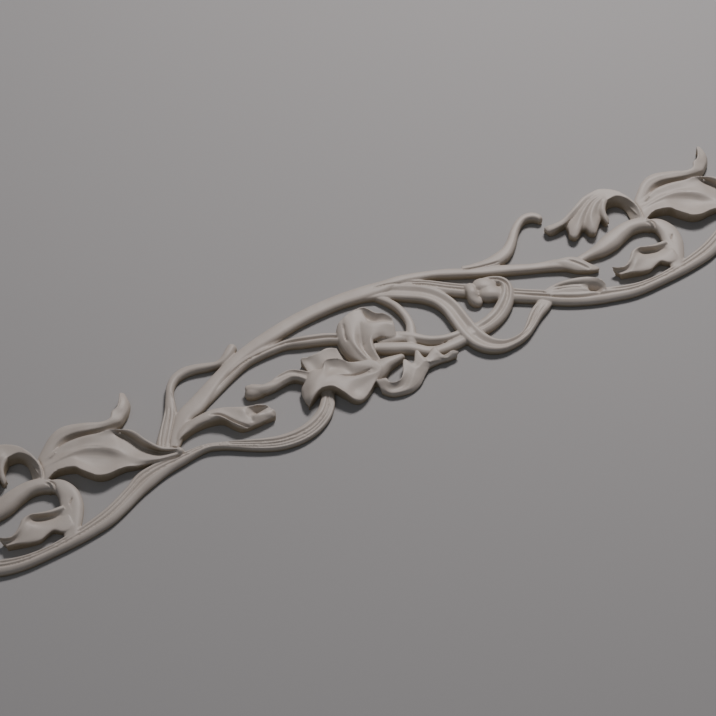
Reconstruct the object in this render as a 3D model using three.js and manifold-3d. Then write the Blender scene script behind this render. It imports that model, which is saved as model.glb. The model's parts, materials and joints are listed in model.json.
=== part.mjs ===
import * as THREE from 'three';
import { mergeVertices } from 'three/addons/utils/BufferGeometryUtils.js';
import Module from 'manifold-3d';

// An iris frieze cast in one piece in rigid polyurethane, flat on its back.
// X runs along the moulding, Y up the wall, Z out of it. Sizes are millimetres.

const REPEAT = 993;       // one pattern, from the heart of a flower to the heart of its copy
const HEIGHT = 217.5;     // from the foot of the lower petal to the top of the arc
const RELIEF = 24;        // highest petal rims above the flat back
const LENGTH = 1290;      // the piece, between its two square ends
const LEAD = 130;         // moulding kept ahead of the first flower's heart

// The carving is drawn at these sizes, and its points are scaled from them to the sizes above.
const DRAWN = { repeat: 993, height: 217.5, relief: 24 };

const SUNK = 3;           // how far a carved form starts below the back, before the back is cut flat
const LOW = 1.2;          // thinnest edge a carved form may run out to
const MERGED = 1e-4;      // points closer together than this are one point

// Cross sections of a stem from its right edge to its left: place across, share of the stem's depth.
const ROUND = [[-1, 0.4], [-0.62, 0.86], [0, 1], [0.62, 0.86], [1, 0.4]];
const BOARD = [[-1, 0.78], [-0.55, 0.94], [0.35, 1], [1, 0.8]];
const REEDED = [[-1, 0.55], [-0.6, 1], [-0.16, 0.72], [0.14, 0.9], [0.42, 0.7], [0.72, 0.88], [1, 0.6]];
const TWIN = [[-1, 0.6], [-0.55, 1], [0.02, 0.7], [0.52, 0.95], [1, 0.62]];

const wasm = await Module();
wasm.setup();

function place([x, y, z]) {
  return new THREE.Vector3(
    x * REPEAT / DRAWN.repeat,
    y * HEIGHT / DRAWN.height,
    Math.max(z, LOW) * RELIEF / DRAWN.relief,
  );
}

function smooth(points, steps) {
  const curve = new THREE.CatmullRomCurve3(points, false, 'catmullrom', 0.5);
  return curve.getPoints((points.length - 1) * steps);
}

function solid(geometry) {
  geometry.deleteAttribute('normal');
  geometry.deleteAttribute('uv');
  const merged = mergeVertices(geometry, MERGED);
  return new wasm.Manifold(new wasm.Mesh({
    numProp: 3,
    vertProperties: new Float32Array(merged.attributes.position.array),
    triVerts: new Uint32Array(merged.index.array),
  }));
}

// A carved form: its rails run side by side over the top of it, and its two outer rails and its
// two ends drop straight down through the back.
function carved(rails, steps = 2) {
  const tops = rails.map((rail) => smooth(rail.map(place), steps));
  const first = tops[0];
  const last = tops[tops.length - 1];
  const under = (p) => new THREE.Vector3(p.x, p.y, -SUNK);
  const columns = [first.map(under), ...tops, last.map(under)];
  const around = columns.length;
  const stations = first.length;
  const points = [];
  for (let i = 0; i < stations; i++) {
    for (const column of columns) points.push(column[i]);
  }
  const faces = [];
  for (let i = 0; i < stations - 1; i++) {
    for (let j = 0; j < around; j++) {
      const a = i * around + j;
      const b = i * around + (j + 1) % around;
      faces.push([a, b, b + around], [a, b + around, a + around]);
    }
  }
  for (const end of [0, stations - 1]) {
    const corner = end * around;
    const turned = (a, b, c) => faces.push(end === 0 ? [c, b, a] : [a, b, c]);
    let foot = corner;
    for (let j = 1; j < around - 2; j++) {
      const isLast = j === around - 3;
      const nextFoot = isLast ? corner + around - 1 : points.push(under(columns[j + 1][end])) - 1;
      turned(foot, corner + j, corner + j + 1);
      turned(foot, corner + j + 1, nextFoot);
      if (foot !== corner) turned(corner, foot, nextFoot);
      foot = nextFoot;
    }
  }
  const volume = faces.reduce((sum, [a, b, c]) => (
    sum + points[a].dot(points[b].clone().cross(points[c]))
  ), 0);
  const geometry = new THREE.BufferGeometry().setFromPoints(points);
  geometry.setIndex(faces.flatMap(([a, b, c]) => (volume > 0 ? [a, b, c] : [a, c, b])));
  return geometry;
}

// A stem: stations give its middle line, width and depth, and the section is carried along them.
function stem(stations, section, steps = 2) {
  const rails = section.map(() => []);
  stations.forEach(([x, y, width, depth], i) => {
    const before = stations[Math.max(i - 1, 0)];
    const after = stations[Math.min(i + 1, stations.length - 1)];
    const turn = Math.atan2(after[1] - before[1], after[0] - before[0]);
    section.forEach(([across, share], j) => {
      const offset = across * width / 2;
      rails[j].push([x - Math.sin(turn) * offset, y + Math.cos(turn) * offset, depth * share]);
    });
  });
  return carved(rails, steps);
}

// The side flower, its heart at the drawing's zero.
const tube = stem([
  [-140, -27, 12, 10], [-118, -26, 15, 12], [-97, -25.5, 23, 15], [-76, -21, 28, 17],
  [-54, -14.5, 25, 18], [-34, -11, 22, 18], [-16, -14, 21, 17], [-4, -22, 18, 15],
], ROUND);

const flutedLeaf = carved([
  [[-15, -12, 16], [-10, 3, 20], [-5, 21, 22], [-9, 38, 23], [-17, 56, 24], [-35, 70, 24],
    [-59, 71, 24], [-81, 60, 24], [-104, 50, 22], [-125, 47, 18], [-145, 52.5, 13]],
  [[-17, -10, 14], [-13, 5, 18], [-8, 22, 19], [-11, 38, 21], [-19, 54, 23], [-36, 67, 24],
    [-59, 68, 23], [-79, 58.5, 23], [-101, 48.5, 21], [-122, 43.5, 17], [-146, 46.5, 12]],
  [[-18, -8, 13], [-15, 6, 16], [-10, 22, 16], [-13, 38, 19], [-21, 53, 22], [-37, 64, 24],
    [-59, 66, 22], [-77, 57, 20], [-98, 48, 16], [-115, 39.5, 12], [-123, 36, 9]],
  [[-20, -6, 12], [-17, 7, 14], [-12, 22, 13], [-15, 37, 17], [-22, 51, 21], [-37, 61, 24],
    [-57, 62, 24], [-73, 54, 24], [-91, 42.5, 22], [-106.5, 30.5, 17], [-117, 11, 13]],
  [[-21, -4, 11], [-19, 8, 12], [-14, 23, 11], [-17, 37, 15], [-23, 49, 20], [-38, 57, 23],
    [-55, 59, 22], [-70, 51, 20], [-87, 37.5, 16], [-95, 26.5, 12], [-99, 19, 9]],
  [[-22, -2, 10], [-21, 9, 10], [-16, 24, 9], [-18, 36, 13], [-24, 48, 20], [-37, 53, 23],
    [-52, 55, 24], [-62, 46, 24], [-76, 33.5, 22], [-85.5, 18, 18], [-93, 4, 13]],
  [[-23, -1, 8], [-23, 10, 7], [-18, 24, 6], [-20, 36, 12], [-25, 46.5, 19], [-36, 50, 22],
    [-48, 50, 22], [-55, 43, 20], [-63.5, 34, 16], [-67.5, 27, 13], [-67.5, 19.5, 10]],
  [[-25, 1, 6], [-24, 11, 5], [-19, 25, 4], [-21, 35, 10], [-26, 45, 19], [-35, 48, 22],
    [-45, 47, 23], [-51, 39, 23], [-57.5, 31.5, 21], [-62, 21, 18], [-59, 8.5, 14]],
  [[-26, 3, 4], [-25, 13, 3], [-20, 25, 2], [-22, 34, 6], [-27, 43, 18], [-34, 46, 22],
    [-42, 44.5, 23], [-48, 37, 22], [-53.5, 28.5, 20], [-56, 21, 17], [-56, 15.5, 14]],
], 1);

const backSepal = carved([
  [[-8, 22, 13], [6, 36, 17], [29, 53, 20], [52, 58, 22], [79, 49, 21], [101, 39, 19],
    [115, 40, 20], [123, 50.5, 21], [132, 53, 21], [141, 65, 21], [147, 74, 17]],
  [[-5, 19, 14], [12, 31, 17], [33, 44, 19], [54, 48, 21], [80, 41, 19], [102, 33, 18],
    [118, 32, 18], [128, 42, 20], [137, 47, 20], [146, 58, 20], [150, 74, 17]],
  [[-2, 14, 12], [16, 22, 12], [38, 29, 7], [56, 32, 7], [82, 26, 8], [102, 20, 9],
    [124, 27, 7], [134, 34, 7], [144, 43, 7], [153, 54, 7], [154, 68, 8]],
]);

const frontPetal = carved([
  [[-14, 26, 12], [12, 24, 18], [33, 27, 17], [47, 29, 17], [61, 29, 17], [88, 24, 18],
    [112, 19, 21], [134, 1, 23], [146, -30, 23], [160, -47, 20], [176, -54, 15]],
  [[-14, 14, 14], [13, 14, 16], [34, 17, 16], [48, 18, 16], [62, 17, 15], [91, 10, 15],
    [113, 4, 11], [131, -11, 9], [142, -37, 12], [158, -50, 13], [175, -56, 14]],
  [[-14, 3, 15], [14, 4, 18], [35, 6, 19], [49, 6, 19], [63, 4, 19], [92, -7, 18],
    [112, -18, 14], [128, -27, 9], [140, -44, 10], [157, -54, 12], [174, -58, 14]],
  [[-13, -6, 15], [14, -2, 13], [35, -4, 11], [47, -11, 9], [62, -20, 8], [92, -26, 8],
    [112, -34, 10], [126, -40, 12], [139, -51, 13], [156, -58, 14], [174, -60, 14]],
  [[-10, -15, 17], [12, -6, 21], [34, -9, 22], [43, -29, 22], [62, -45, 22], [88, -48, 21],
    [110, -53, 20], [124, -58, 17], [139, -60, 16], [156, -62, 15], [174, -63, 13]],
]);

const petalKnob = stem([[168, -57, 9, 13], [176, -56, 13, 17], [183, -54, 7, 12]], ROUND);

const fall = stem([
  [-10, -18, 14, 16], [4, -29, 22, 17], [9, -47, 29, 16], [6, -65, 31, 14],
  [-2, -82, 29, 13], [-10, -98, 24, 12], [-18, -116, 20, 10],
], ROUND);

const fallLobe = carved([
  [[-107, -70, 15], [-99, -74, 17], [-86, -76, 18], [-74, -66, 20], [-63, -58, 22],
    [-50, -57, 21], [-37, -62, 19], [-22, -66, 17], [-6, -62, 14]],
  [[-109, -77, 12], [-98, -78, 11], [-86, -79, 14], [-73, -76, 16], [-60, -72, 14],
    [-47, -71, 9], [-35, -74, 8], [-20, -77, 10], [-6, -74, 12]],
  [[-109, -80, 11], [-98, -80, 13], [-85, -82, 15], [-72, -84, 16], [-59, -86, 15],
    [-47, -84, 13], [-35, -85, 13], [-21, -90, 13], [-8, -90, 12]],
  [[-108, -82.5, 8], [-97, -83, 9], [-82.5, -86, 10], [-70, -90.5, 11], [-58, -95.5, 12],
    [-46.5, -92, 12], [-35.5, -91.5, 12], [-29, -102, 11], [-16, -112, 11]],
]);

// The stems.
const arc = stem([
  [172, -44, 14, 12], [191, -22, 20, 12], [211, -2, 24, 12], [234, 8, 26, 12],
  [257, 21, 23, 12], [283, 36, 19, 12], [310, 49, 18, 12], [342, 60, 19, 12],
  [382, 68, 22, 13], [437, 77, 22, 13], [497, 79, 22, 13], [545, 74, 24, 13],
  [575, 70, 22, 13], [602, 70, 15, 13], [631, 63, 14, 12], [652, 56, 13, 12],
  [673, 47, 15, 12], [692, 37, 14, 12], [715, 25, 13, 12], [745, 13.5, 16, 12],
  [784, -4.5, 14, 12], [804, -12, 15, 12], [822, -19, 18, 13],
  [840, -30, 15, 12],
], BOARD);

const underArc = stem([
  [246, 8, 14, 9], [280, 24, 15, 10], [305, 35, 15, 11], [330, 43, 13, 12],
  [350, 45.5, 12, 12], [375, 46, 12, 12], [398, 45, 14, 12], [417, 39, 17, 13],
  [437, 32, 18, 13], [457, 24, 18, 13], [476, 12, 17, 12], [492, -7, 15, 12], [506, -25, 13, 12],
], TWIN);

const mainStem = stem([
  [548, 76, 8, 9], [577, 68, 14, 11], [604, 58, 18, 12], [631, 43, 20, 12], [655, 23, 22, 12],
  [680, 4, 22, 12], [700, -10, 24, 13], [720, -26, 24, 13], [745, -43.5, 23, 12], [770, -60, 23, 12],
  [792, -76, 24, 12], [817, -90, 24, 12], [845, -101, 25, 12], [864, -107, 24, 12],
  [886, -114, 22, 12], [910, -118, 19, 12], [940, -118.5, 17, 12], [970, -116.5, 19, 12],
  [996, -113.5, 21, 12], [1029, -107, 24, 12], [1055, -97.5, 24, 12], [1084, -84, 25, 12],
  [1103, -75, 29, 12], [1122, -70, 27, 12], [1142, -67.5, 22, 12], [1165, -66.5, 17, 12],
  [1191, -65, 12.5, 12], [1208, -66.5, 10, 12], [1225, -73, 10, 12], [1243, -82, 13, 12],
  [1261, -92, 17, 12], [1280, -101.5, 20, 12], [1299, -108.5, 22, 12], [1320, -111.5, 23, 12],
  [1339, -110.5, 23, 12], [1358, -105, 23, 12], [1376, -95, 22, 12], [1389, -82, 21, 11],
  [1398, -68, 19, 10], [1406, -54, 16, 10],
], REEDED, 1);

const ribbon = stem([
  [526, 72, 10, 10], [550, 68, 18, 11], [573, 61, 25, 12], [598, 46, 28, 13], [621, 28, 28, 14],
  [635, 8, 27, 14], [641, -15, 27, 14], [641, -40, 28, 14], [641, -66, 29, 14], [645, -88, 29, 14],
  [654, -103, 25, 14], [668, -112, 20, 13], [683, -114.5, 15, 12], [698, -113.5, 13, 12],
  [712, -109, 12.5, 12], [726, -99.5, 15, 12], [745, -85, 19, 12], [765, -74.5, 20, 11],
  [783, -65, 18, 9],
], TWIN, 1);

const ringStem = stem([
  [556, 62, 10, 9], [566, 46, 11, 11], [573, 30, 12, 12], [576, 10, 12, 12], [574, -10, 13, 12],
  [567, -26, 15, 12], [560, -38, 15, 11], [556, -50, 12, 7],
], ROUND, 1);

const upperStrand = stem([
  [543, -18, 14, 11], [560, -29, 14, 12], [577, -45, 12, 12], [590, -53.5, 11, 12],
  [606, -59.5, 11, 12], [630, -62, 11, 11],
], ROUND, 1);

const lowerStrand = stem([
  [506, -25, 16, 13], [528, -38, 18, 14], [548, -49, 18, 14], [560, -59, 17, 13], [571, -68, 16, 12],
  [590, -75, 16, 12], [630, -74, 16, 11],
], ROUND, 1);

const strandWeb = stem([
  [515, -16, 8, 8], [535, -21, 16, 11], [552, -27, 17, 11], [566, -37, 13, 10], [580, -51, 10, 8],
  [600, -63, 8, 7],
], ROUND, 1);

const loopBand = stem([
  [628, -68, 24, 11], [656, -68.5, 23, 12], [676, -66, 24, 13], [697, -58, 24, 13], [715, -46, 23, 15],
  [728, -32, 20, 16], [734, -18, 17, 16], [731, -7, 15, 16], [722, 1, 13, 15], [709, 6, 11, 14],
  [696, 6, 9, 12],
], TWIN);

const stemKnot = stem([
  [688, 5, 14, 14], [700, 0, 26, 17], [711, -7, 25, 16.5], [722, -13, 18, 13],
], ROUND, 1);

const knotFold = stem([
  [690, -9, 18, 13], [702, -16, 27, 16.3], [713, -23, 23, 15.5], [723, -29, 15, 12],
], ROUND, 1);

const clasp = stem([
  [683, 13, 13, 14], [684, 4, 17, 17], [682, -7, 17, 18], [680, -15, 18, 15], [683, -21, 18, 12],
  [691, -23, 8, 9],
], ROUND, 1);

const upperTendril = stem([
  [160, -52, 34, 11], [166, -32, 26, 11], [179, -12, 22, 12], [191, 5, 20, 12], [199, 19, 17, 12],
  [205, 33, 14, 12], [211, 46, 11.5, 12], [219, 58, 12, 12], [231, 67.5, 13, 12],
  [247, 71.5, 14.5, 12], [263, 69.5, 13.5, 12], [279, 64.5, 12, 12], [294, 60.5, 10, 12],
  [306, 62.5, 12, 13], [317, 69, 14, 14], [327, 76.5, 13, 14], [333, 81, 8, 13],
], TWIN, 1);

const hookLeaf = stem([
  [694, 43, 10, 12], [712, 36, 16, 12], [732, 32, 19, 13], [752, 33.5, 20, 14], [770, 39, 18, 14],
  [787, 52, 15, 14], [802, 67.5, 13, 14], [815, 78, 12, 14], [828, 83.8, 11.5, 14.5],
  [841, 82.3, 12.5, 14.5], [849, 75, 11, 13.5], [850, 68, 8, 12],
], BOARD, 1);

const podLobe = carved([
  [[806, -7, 11], [824, -11, 12], [843, -16, 13], [855, -24, 13], [864, -40, 12], [875, -55, 8]],
  [[808, -12, 12], [826, -19, 14], [842, -28, 15], [853, -38, 15], [862, -50, 13], [874, -56, 8]],
  [[807, -17, 10], [828, -32, 11], [840, -45, 12], [850, -52, 13], [861, -57, 12], [873, -57, 8]],
]);

const spoonLeaf = carved([
  [[774, -54, 11], [793, -52.5, 13], [812, -54.5, 15], [832, -61.5, 17], [848, -70, 18],
    [858, -80, 18], [861, -90, 16], [857, -99, 13]],
  [[778, -59, 11], [795, -59, 12.5], [812, -64, 12.5], [829, -73, 12], [839, -81, 9], [845, -88, 5.5],
    [849, -94, 5], [851, -100, 8]],
  [[780, -68, 12], [796, -73, 12.5], [811, -81, 13], [826, -88, 13], [835, -94, 12], [840, -99, 10],
    [844, -104, 10], [847, -108, 10]],
]);

const bud = carved([
  [[178, -42, 11], [186, -26, 12], [202, -17, 13], [219, -13, 13], [236, -11.5, 13], [251, -13, 14],
    [264, -18, 15], [276, -25, 16], [288, -31, 16], [299, -36, 17], [309, -39, 17], [319, -46, 16]],
  [[179, -41, 12], [188, -31, 14], [204, -23, 15], [220, -20, 16], [236, -18, 16], [250, -20, 16],
    [262, -25, 15], [274, -32, 16.5], [286, -38, 17.5], [297, -42, 13], [306, -43, 11], [321, -50, 15]],
  [[180, -41, 12], [190, -35, 14], [207, -29, 14], [222, -27.5, 15], [238, -29, 16], [251, -34, 17],
    [261, -43, 17], [270, -53, 16], [284, -54, 15.5], [298, -55, 17.5], [310, -55.5, 16],
    [324, -58, 15.5]],
  [[182, -40, 7], [191, -34, 5], [210, -30.5, 4], [232, -30.5, 4], [249, -34.5, 6], [257, -41, 8],
    [262, -54, 10], [272, -65, 11], [290, -67, 11.5], [303, -67, 11.5], [314, -66.5, 11],
    [322, -66, 10]],
], 1);

const budTip = stem([
  [296, -57, 14, 14], [306, -58, 16, 16], [316, -58, 18, 16], [323.5, -57, 16, 14],
], ROUND, 1);

// The flower in the middle.
const standardLeft = carved([
  [[474, 31, 13], [467, 21, 8], [463, 7, 5], [462, -8, 4], [464, -25, 5], [472, -42, 9]],
  [[483, 35, 20], [475, 20, 16], [469, 4, 14], [468, -12, 13], [470, -28, 14], [477, -45, 15]],
  [[489, 37, 17], [480, 21, 14], [474, 3, 15], [472, -14, 15], [473, -30, 15], [480, -47, 15]],
  [[497, 41, 21], [488, 20, 21], [480, 0, 21], [476, -18, 20], [476, -34, 18], [482, -49, 16]],
  [[506, 44, 21], [500, 22, 20], [492, 0, 15], [486, -18, 11], [485, -34, 11], [488, -51, 14]],
  [[516, 45, 20], [513, 20, 20], [508, 0, 21], [500, -16, 20], [494, -33, 19], [494, -53, 17]],
  [[520, 44, 19], [518, 20, 18], [514, -2, 19], [506, -18, 17], [500, -35, 15], [500, -54, 14]],
]);

const standardRight = carved([
  [[506, 44, 20], [512, 44.5, 21], [526, 42, 22], [536, 24, 22], [546, 17, 22], [552, 4, 21]],
  [[503, 32, 19], [511, 33, 20], [519, 30, 13], [527, 18, 12], [539, 11, 15], [551, -1, 18]],
  [[498, 14, 17], [508, 16, 20], [517, 12, 21], [528, 7, 21], [540, 2, 20], [549, -8, 18]],
  [[493, -4, 13.5], [503, -2, 18.5], [513, -6, 20], [524, -8, 19], [536, -10, 17], [546, -16, 15]],
  [[491, -15, 12], [500, -14, 16], [510, -16, 17], [522, -15, 15], [533, -21, 13], [543, -23, 12]],
]);

const skirt = carved([
  [[387, -32, 10], [402, -23, 18], [418, -26, 17], [429, -17, 21], [447, -24, 21], [456, -36, 20],
    [470, -42, 19], [484, -46, 19], [493, -55, 18]],
  [[377, -40, 11], [393, -38, 20], [412, -38, 21], [430, -31, 14], [445, -38, 15], [456, -48, 17],
    [470, -53, 18], [483, -57, 18], [494, -61, 18]],
  [[372, -52, 10], [388, -50, 21], [406, -49, 22], [424, -46, 20], [440, -52, 17], [454, -59, 13],
    [469, -63, 13], [483, -66, 17], [494, -66, 18]],
  [[370, -62, 12], [382, -60, 21], [402, -56, 22], [418, -57, 21], [434, -63, 19], [450, -66, 18],
    [467, -69, 18], [482, -72, 17], [492, -71, 17]],
  [[370, -69, 12], [380, -66, 21], [399, -60, 22], [416, -64, 22], [428, -79, 19], [441, -84, 14],
    [458, -82, 14], [475, -79, 15], [487, -76, 15]],
  [[371, -75, 10], [378, -71, 18], [397, -62, 22], [413, -66, 22], [421, -79, 22], [430, -98, 17],
    [442, -102, 12], [457, -95.5, 13], [474, -83, 13]],
]);

const horn = stem([
  [476, -69, 30, 16], [492, -64, 28, 17], [506, -61, 20, 17], [521, -60, 14, 15], [537, -59, 8, 12],
], ROUND, 1);

const backPetal = carved([
  [[399, 3, 16], [403, 5, 18], [410, 2, 18], [427, 1, 19], [442, 2, 19], [455, -5, 18]],
  [[399, -5, 14], [404, -5, 14], [412, -6, 14], [424, -7, 17], [440, -6, 17], [455, -12, 16]],
  [[399, -26, 11], [405, -28, 11], [414, -28, 11], [426, -26, 13], [440, -28, 13], [455, -32, 12]],
]);

const sideSepal = carved([
  [[312, 2.5, 13], [318, -2, 15], [327, -8, 15], [343, -9, 15], [360, -5, 16], [377, -4, 16],
    [389, -11, 16], [402, -23, 16]],
  [[307, -0.5, 14], [316, -8, 16.5], [328, -13, 17], [344, -13, 16], [360, -10, 14], [375, -10, 13],
    [386, -17, 12], [396, -29, 13]],
  [[305.5, -6, 13], [316, -14, 15], [329, -19, 15], [345, -20, 15.5], [360, -17.5, 16.5],
    [373, -17, 17], [383, -23, 17], [391, -34, 16]],
  [[306.5, -10, 10], [317, -18.5, 11], [330, -23, 11], [345, -24, 11], [361, -22, 11], [374, -22, 11],
    [382, -28, 11], [388, -38, 10]],
], 1);

const sepalEnd = stem([
  [305.5, -3, 16, 12], [311, -8, 23, 15], [318, -11, 22, 15.5], [329, -14, 16, 15],
], ROUND, 1);

const lowerPetal = carved([
  [[476, -82, 14], [490, -85, 15], [491, -94, 15], [498, -99, 16], [508, -97, 16], [516, -88, 16],
    [524, -73, 16], [533, -79, 14], [550, -67, 16], [556, -81, 14], [576, -73, 15], [582, -88, 14],
    [598, -88, 15], [607, -93, 13]],
  [[475, -89, 12], [484, -91, 14], [487, -99, 14], [496, -104, 13], [508, -104, 12], [520, -95, 14],
    [530, -84, 15], [539, -84, 14], [552, -79, 15], [559, -87, 14], [574, -82, 14], [584, -91, 13],
    [596, -91, 14], [603, -95, 12]],
  [[475, -95, 9], [479, -99, 11], [484, -105, 12], [494, -110, 10], [508, -110, 9], [522, -103, 12],
    [533, -94, 14], [543, -90, 14], [553, -87, 14], [561, -91, 13], [573, -89, 12], [585, -94, 11],
    [595, -93, 12], [602, -95, 11]],
  [[476, -99, 6], [481, -106, 7], [488, -112, 9], [502, -116, 9], [516, -117, 9], [532, -112, 9],
    [546, -101, 9], [556, -94, 8], [562, -93, 7], [570, -93, 7], [578, -94, 7], [588, -96, 7],
    [596, -96, 8], [602, -96, 8]],
], 1);

const forms = [
  tube, flutedLeaf, backSepal, frontPetal, petalKnob, fall, fallLobe,
  arc, underArc, mainStem, ribbon, ringStem, upperStrand, lowerStrand, strandWeb,
  loopBand, stemKnot, knotFold, clasp,
  upperTendril, hookLeaf, podLobe, spoonLeaf, bud, budTip,
  standardLeft, standardRight, skirt, horn, backPetal, sideSepal, sepalEnd, lowerPetal,
];

// The pattern is repeated as often as the length needs, and the ends and the back are cut flat.
const left = -LEAD;
const right = LENGTH - LEAD;
const block = new THREE.BoxGeometry(LENGTH, HEIGHT * 2, RELIEF * 2);
block.translate((left + right) / 2, 0, RELIEF);
const blank = solid(block);

const firstCopy = Math.floor(left / REPEAT) - 1;
const lastCopy = Math.ceil(right / REPEAT);
let body = null;
for (let copy = firstCopy; copy <= lastCopy; copy++) {
  for (const form of forms) {
    const shifted = form.clone().translate(copy * REPEAT, 0, 0);
    shifted.computeBoundingBox();
    const { min, max } = shifted.boundingBox;
    if (max.x < left || min.x > right) continue;
    const piece = solid(shifted);
    body = body ? body.add(piece) : piece;
  }
}
const sawn = body.intersect(blank).getMesh();

// A petal tip at a sawn end that no longer hangs on the rest falls away as an offcut.
const joinedTo = Array.from({ length: sawn.numVert }, (_, vertex) => vertex);
function rootOf(vertex) {
  let root = vertex;
  while (joinedTo[root] !== root) root = joinedTo[root];
  joinedTo[vertex] = root;
  return root;
}
for (let i = 0; i < sawn.triVerts.length; i += 3) {
  joinedTo[rootOf(sawn.triVerts[i])] = rootOf(sawn.triVerts[i + 1]);
  joinedTo[rootOf(sawn.triVerts[i + 1])] = rootOf(sawn.triVerts[i + 2]);
}
const bodies = new Map();
for (let i = 0; i < sawn.triVerts.length; i += 3) {
  const root = rootOf(sawn.triVerts[i]);
  if (!bodies.has(root)) bodies.set(root, []);
  bodies.get(root).push(...sawn.triVerts.slice(i, i + 3));
}
const reachesSaw = (vertices) => vertices.some((vertex) => {
  const x = sawn.vertProperties[vertex * sawn.numProp];
  return Math.min(x - left, right - x) < MERGED;
});
const [largest, ...others] = [...bodies.values()].sort((a, b) => b.length - a.length);
const kept = [largest, ...others.filter((vertices) => !reachesSaw(vertices))].flat();

// The origin is on the back, at the middle of the length.
const corners = kept.map((vertex) => (
  new THREE.Vector3().fromArray(sawn.vertProperties, vertex * sawn.numProp)
));
const geometry = mergeVertices(new THREE.BufferGeometry().setFromPoints(corners), MERGED);
geometry.translate(-(left + right) / 2, 0, 0);
geometry.computeVertexNormals();

const ivory = new THREE.MeshStandardMaterial({ color: 0xd9d3c8, roughness: 0.55, metalness: 0 });
const frieze = new THREE.Mesh(geometry, ivory);
frieze.name = 'iris_frieze';

const moulding = new THREE.Group();
moulding.add(frieze);
export default moulding;
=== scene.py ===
import json
import math

import bmesh
import bpy
import numpy as np
from mathutils import Matrix, Vector

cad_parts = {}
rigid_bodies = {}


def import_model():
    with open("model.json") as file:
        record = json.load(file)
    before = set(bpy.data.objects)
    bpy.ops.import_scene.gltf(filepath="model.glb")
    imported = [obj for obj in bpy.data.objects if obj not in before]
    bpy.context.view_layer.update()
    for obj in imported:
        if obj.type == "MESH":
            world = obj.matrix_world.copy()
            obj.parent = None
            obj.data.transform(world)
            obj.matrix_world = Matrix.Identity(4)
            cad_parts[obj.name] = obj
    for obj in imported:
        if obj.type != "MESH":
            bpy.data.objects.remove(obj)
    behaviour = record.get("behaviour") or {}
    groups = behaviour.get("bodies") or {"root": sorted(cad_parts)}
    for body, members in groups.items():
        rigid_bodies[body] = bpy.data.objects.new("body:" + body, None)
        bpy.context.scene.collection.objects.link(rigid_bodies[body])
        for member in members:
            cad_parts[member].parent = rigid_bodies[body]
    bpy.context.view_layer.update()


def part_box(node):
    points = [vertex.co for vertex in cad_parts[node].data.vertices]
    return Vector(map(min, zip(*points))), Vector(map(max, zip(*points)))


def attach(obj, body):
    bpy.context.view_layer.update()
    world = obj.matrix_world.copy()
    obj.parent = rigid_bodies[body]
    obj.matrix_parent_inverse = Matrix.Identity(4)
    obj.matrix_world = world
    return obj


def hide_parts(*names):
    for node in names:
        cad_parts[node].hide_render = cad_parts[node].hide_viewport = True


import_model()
for loaded in bpy.data.objects:
    loaded.select_set(False)


# Stems. Whiplash stems run the whole length of the frieze, flat-backed and reeded along their top.
# Each one is a strip of foam whose rounded section is carried along a drawn line; its stations say
# x, y, width and depth in millimetres, its reeds are parted by grooves.
MM = 0.001
SUNK = 3            # how far a form is carried below the back before the back is cut flat
THIN = 1.2          # thinnest edge a form may run out to
STEP = 2.2          # spacing of the grid laid over a form
ACROSS = 25         # points across the section of a stem
TIP_WIDTH = 0.12    # shares of its width and depth that a stem keeps at a rounded tip
TIP_DEPTH = 0.4

forms = []


def eased(rows, steps):
    """The rows with steps - 1 more between each two, on a smooth curve through them all."""
    rows = np.asarray(rows, float)
    ends = np.concatenate([[2 * rows[0] - rows[1]], rows, [2 * rows[-1] - rows[-2]]])
    t = (np.arange(steps) / steps).reshape(1, -1, *[1] * (rows.ndim - 1))
    p0, p1, p2, p3 = (ends[i:len(ends) - 3 + i][:, None] for i in range(4))
    curve = 0.5 * (2 * p1 + (p2 - p0) * t + (2 * p0 - 5 * p1 + 4 * p2 - p3) * t ** 2
                   + (3 * p1 - p0 - 3 * p2 + p3) * t ** 3)
    return np.concatenate([curve.reshape(-1, *rows.shape[1:]), rows[-1:]])


def rolled(grid, radius):
    """The grid with its first row rolled over: rows added that round its rim off at the radius, which
    is at most half the rim's depth."""
    inward = grid[1] - grid[0]
    inward[:, 2] = 0
    reach = np.linalg.norm(inward, axis=1, keepdims=True)
    inward /= np.maximum(reach, 1e-6)
    radius = np.minimum(radius, np.minimum(reach[:, 0], grid[0][:, 2] * 0.5))[:, None]
    rows = []
    for share in (0, 0.13, 0.5, 0.98):
        row = grid[0] + inward * radius * share
        row[:, 2:] -= radius * (1 - math.sqrt(1 - (1 - share) ** 2))
        rows.append(row)
    return np.concatenate([rows, grid[1:]])


def drawn_in(grid):
    """The grid with a row added before its first: the foot of its side, drawn in under the rim by a
    share of the rim's depth and of the form's width, and by 3 mm at most."""
    of_depth, of_width, furthest = 0.3, 0.35, 3
    inward = grid[1] - grid[0]
    inward[:, 2] = 0
    inward /= np.maximum(np.linalg.norm(inward, axis=1, keepdims=True), 1e-6)
    reach = np.linalg.norm((grid[len(grid) // 2] - grid[0])[:, :2], axis=1)
    lean = np.minimum(np.minimum(of_depth * grid[0][:, 2], of_width * reach), furthest)
    foot = grid[0] + inward * lean[:, None]
    foot[:, 2] = THIN
    return np.concatenate([[foot], grid])


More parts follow.
